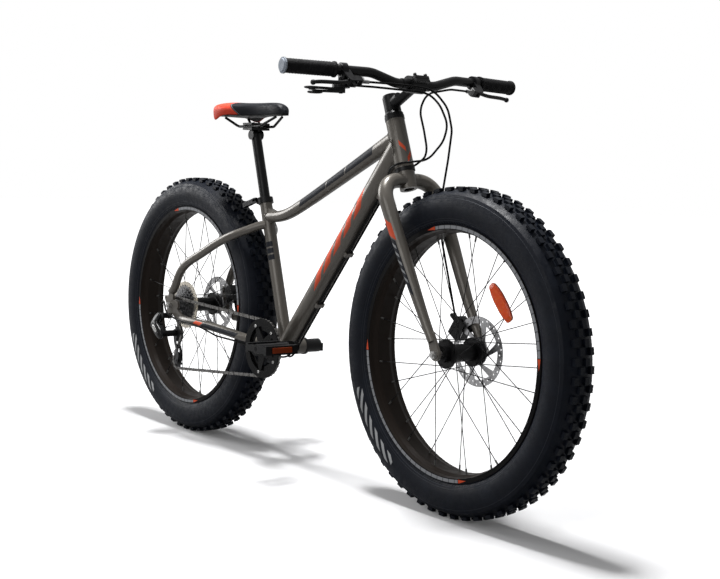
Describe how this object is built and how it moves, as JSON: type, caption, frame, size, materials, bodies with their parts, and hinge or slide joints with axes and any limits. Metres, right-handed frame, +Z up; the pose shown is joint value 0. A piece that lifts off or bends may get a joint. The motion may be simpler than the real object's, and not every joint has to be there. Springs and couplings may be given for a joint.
{
  "type": "fat tire bike",
  "caption": "Fat tire bike with wide knobby tyres, a sloping steel frame, rigid fork, disc brakes, riser bar, geared chain drive and a height-adjustable saddle.",
  "frame": {"origin": "on the ground, midway between the two axles", "axes": "+X forward, +Y to the rider's left, +Z up"},
  "size_m": [1.873, 0.6984, 1.0059],
  "materials": {
    "frame_paint": "satin metallic",
    "black_paint": "satin",
    "black_alloy": "satin black anodised",
    "steel": "brushed",
    "dark_steel": "oiled",
    "tyre": "matte",
    "rubber": "matte",
    "black_plastic": "matte",
    "orange_lens": "faceted lens",
    "guard_plastic": "clear tinted",
    "saddle_skin": "matte, grained",
    "cable_sleeve": "satin"
  },
  "bodies": {
    "frame": {"head_tube": "frame_paint", "top_tube": "frame_paint", "down_tube": "frame_paint", "seat_tube": "frame_paint", "bottom_bracket_shell": "frame_paint", "chainstays": "frame_paint", "seatstays": "frame_paint", "headset_cups": "black_alloy", "bottom_bracket_cups": "black_alloy", "seat_collar": "black_alloy", "rear_brake_caliper": "black_alloy", "rear_axle": "steel", "frame_cables": "cable_sleeve", "chain": "dark_steel", "derailleur_mount": "black_alloy"},
    "seat": {"seatpost": "black_alloy", "saddle_clamp": "black_alloy", "saddle_rails": "steel", "saddle_base": "black_plastic", "saddle_cover": "saddle_skin"},
    "seat_lever": {"seat_lever": "steel"},
    "steering": {"fork": "frame_paint", "headset_covers": "black_alloy", "stem": "black_alloy", "handlebar": "black_alloy", "grips": "rubber", "brake_perches": "black_alloy", "front_brake_caliper": "black_alloy", "front_brake_cable": "cable_sleeve", "front_axle": "steel"},
    "front_wheel": {"front_tyre": "tyre", "front_rim": "black_alloy", "front_spokes": "dark_steel", "front_hub": "black_alloy", "front_rotor": "steel", "spoke_reflector": "orange_lens"},
    "rear_wheel": {"rear_tyre": "tyre", "rear_rim": "black_alloy", "rear_spokes": "dark_steel", "rear_hub": "black_alloy", "rear_rotor": "steel", "spoke_guard": "guard_plastic"},
    "cassette": {"cassette": "steel"},
    "crank": {"crank_right": "black_alloy", "crank_left": "black_alloy", "chainring": "black_paint"},
    "pedal_right": {"pedal_right": "black_plastic"},
    "pedal_left": {"pedal_left": "black_plastic"},
    "brake_lever_right": {"brake_lever_right": "black_alloy"},
    "brake_lever_left": {"brake_lever_left": "black_alloy"},
    "shift_lever_upper": {"shift_lever_upper": "black_plastic"},
    "shift_lever_lower": {"shift_lever_lower": "black_plastic"},
    "front_brake_arm": {"front_brake_arm": "steel"},
    "rear_brake_arm": {"rear_brake_arm": "steel"},
    "derailleur_outer_link": {"derailleur_outer_link": "black_alloy"},
    "derailleur_inner_link": {"derailleur_inner_link": "black_alloy"},
    "derailleur_knuckle": {"derailleur_knuckle": "black_alloy"},
    "derailleur_cage": {"derailleur_cage": "steel"},
    "guide_pulley": {"guide_pulley": "black_plastic"},
    "tension_pulley": {"tension_pulley": "black_plastic"}
  },
  "joints": [
    {"name": "steering_turn", "type": "hinge", "parent": "frame", "child": "steering", "pos_m": [0.51311, 0, 0.35004], "axis": [-0.3502, 0, 0.9367], "range_deg": [-60, 60], "deforming": ["frame_cables"]},
    {"name": "front_wheel_spin", "type": "hinge", "parent": "steering", "child": "front_wheel", "pos_m": [0.5665, 0, 0.37], "axis": [0, 1, 0], "continuous": true},
    {"name": "rear_wheel_spin", "type": "hinge", "parent": "frame", "child": "rear_wheel", "pos_m": [-0.5665, 0, 0.37], "axis": [0, 1, 0], "continuous": true},
    {"name": "crank_spin", "type": "hinge", "parent": "frame", "child": "crank", "pos_m": [-0.10463, 0, 0.301], "axis": [0, 1, 0], "continuous": true, "deforming": ["chain"]},
    {"name": "cassette_spin", "type": "hinge", "parent": "frame", "child": "cassette", "pos_m": [-0.5665, 0, 0.37], "axis": [0, 1, 0], "continuous": true, "deforming": ["chain"]},
    {"name": "pedal_right_spin", "type": "hinge", "parent": "crank", "child": "pedal_right", "pos_m": [0.06131, -0.16, 0.32728], "axis": [0, 1, 0], "continuous": true},
    {"name": "pedal_left_spin", "type": "hinge", "parent": "crank", "child": "pedal_left", "pos_m": [-0.27056, 0.16, 0.27472], "axis": [0, 1, 0], "continuous": true},
    {"name": "brake_lever_right_pull", "type": "hinge", "parent": "steering", "child": "brake_lever_right", "pos_m": [0.38777, -0.19343, 0.96391], "axis": [-0.6984, 0.1106, -0.7071], "range_deg": [0, 15], "stiffness_Nm_per_rad": 1.2, "springref_deg": -17.19},
    {"name": "brake_lever_left_pull", "type": "hinge", "parent": "steering", "child": "brake_lever_left", "pos_m": [0.38777, 0.19343, 0.96391], "axis": [0.6984, 0.1106, 0.7071], "range_deg": [0, 15], "stiffness_Nm_per_rad": 1.2, "springref_deg": -17.19},
    {"name": "front_brake_arm_turn", "type": "hinge", "parent": "steering", "child": "front_brake_arm", "pos_m": [0.50018, 0.0763, 0.41474], "axis": [0, 1, 0], "range_deg": [0, 25]},
    {"name": "rear_brake_arm_turn", "type": "hinge", "parent": "frame", "child": "rear_brake_arm", "pos_m": [-0.494, 0.0903, 0.40381], "axis": [0, 1, 0], "range_deg": [0, 25]},
    {"name": "shift_lever_upper_push", "type": "hinge", "parent": "steering", "child": "shift_lever_upper", "pos_m": [0.35685, -0.19664, 0.94895], "axis": [0, 0, 1], "range_deg": [0, 16], "stiffness_Nm_per_rad": 0.4, "springref_deg": -17.19},
    {"name": "shift_lever_lower_push", "type": "hinge", "parent": "steering", "child": "shift_lever_lower", "pos_m": [0.35685, -0.19664, 0.94895], "axis": [0, 0, 1], "range_deg": [0, 12], "stiffness_Nm_per_rad": 0.4, "springref_deg": -17.19},
    {"name": "seat_height", "type": "slide", "parent": "frame", "child": "seat", "axis": [-0.299, 0, 0.9542], "range_m": [-0.1, 0.06]},
    {"name": "seat_lever_open", "type": "hinge", "parent": "frame", "child": "seat_lever", "pos_m": [-0.25089, -0.0159, 0.68317], "axis": [-0.299, 0, 0.9542], "range_deg": [0, 120]},
    {"name": "derailleur_shift", "type": "hinge", "parent": "frame", "child": "derailleur_outer_link", "pos_m": [-0.5869, -0.1085, 0.34], "axis": [1, 0, 0], "range_deg": [0, 48], "stiffness_Nm_per_rad": 0.5, "springref_deg": -34.38, "deforming": ["chain"]},
    {"name": "derailleur_inner_link_turn", "type": "hinge", "parent": "frame", "child": "derailleur_inner_link", "pos_m": [-0.5869, -0.0975, 0.34], "axis": [1, 0, 0], "range_deg": [0, 48], "deforming": ["chain"]},
    {"name": "derailleur_knuckle_turn", "type": "hinge", "parent": "derailleur_outer_link", "child": "derailleur_knuckle", "pos_m": [-0.5869, -0.13066, 0.31163], "axis": [1, 0, 0], "range_deg": [-48, 0], "deforming": ["chain"]},
    {"name": "derailleur_cage_swing", "type": "hinge", "parent": "derailleur_knuckle", "child": "derailleur_cage", "pos_m": [-0.5495, -0.074, 0.291], "axis": [0, 1, 0], "range_deg": [-35, 20], "stiffness_Nm_per_rad": 0.6, "deforming": ["chain"]},
    {"name": "guide_pulley_spin", "type": "hinge", "parent": "derailleur_cage", "child": "guide_pulley", "pos_m": [-0.5495, -0.074, 0.291], "axis": [0, 1, 0], "continuous": true, "deforming": ["chain"]},
    {"name": "tension_pulley_spin", "type": "hinge", "parent": "derailleur_cage", "child": "tension_pulley", "pos_m": [-0.54575, -0.074, 0.21109], "axis": [0, 1, 0], "continuous": true, "deforming": ["chain"]}
  ],
  "couplings": [
    {"joint": "cassette_spin", "follows": "crank_spin", "ratio": 3.2727},
    {"joint": "tension_pulley_spin", "follows": "crank_spin", "ratio": 3.2727},
    {"joint": "guide_pulley_spin", "follows": "crank_spin", "ratio": -3.2727},
    {"joint": "front_brake_arm_turn", "follows": "brake_lever_right_pull", "ratio": 1.6667},
    {"joint": "rear_brake_arm_turn", "follows": "brake_lever_left_pull", "ratio": 1.6667},
    {"joint": "derailleur_inner_link_turn", "follows": "derailleur_shift", "ratio": 1},
    {"joint": "derailleur_knuckle_turn", "follows": "derailleur_shift", "ratio": -1}
  ]
}
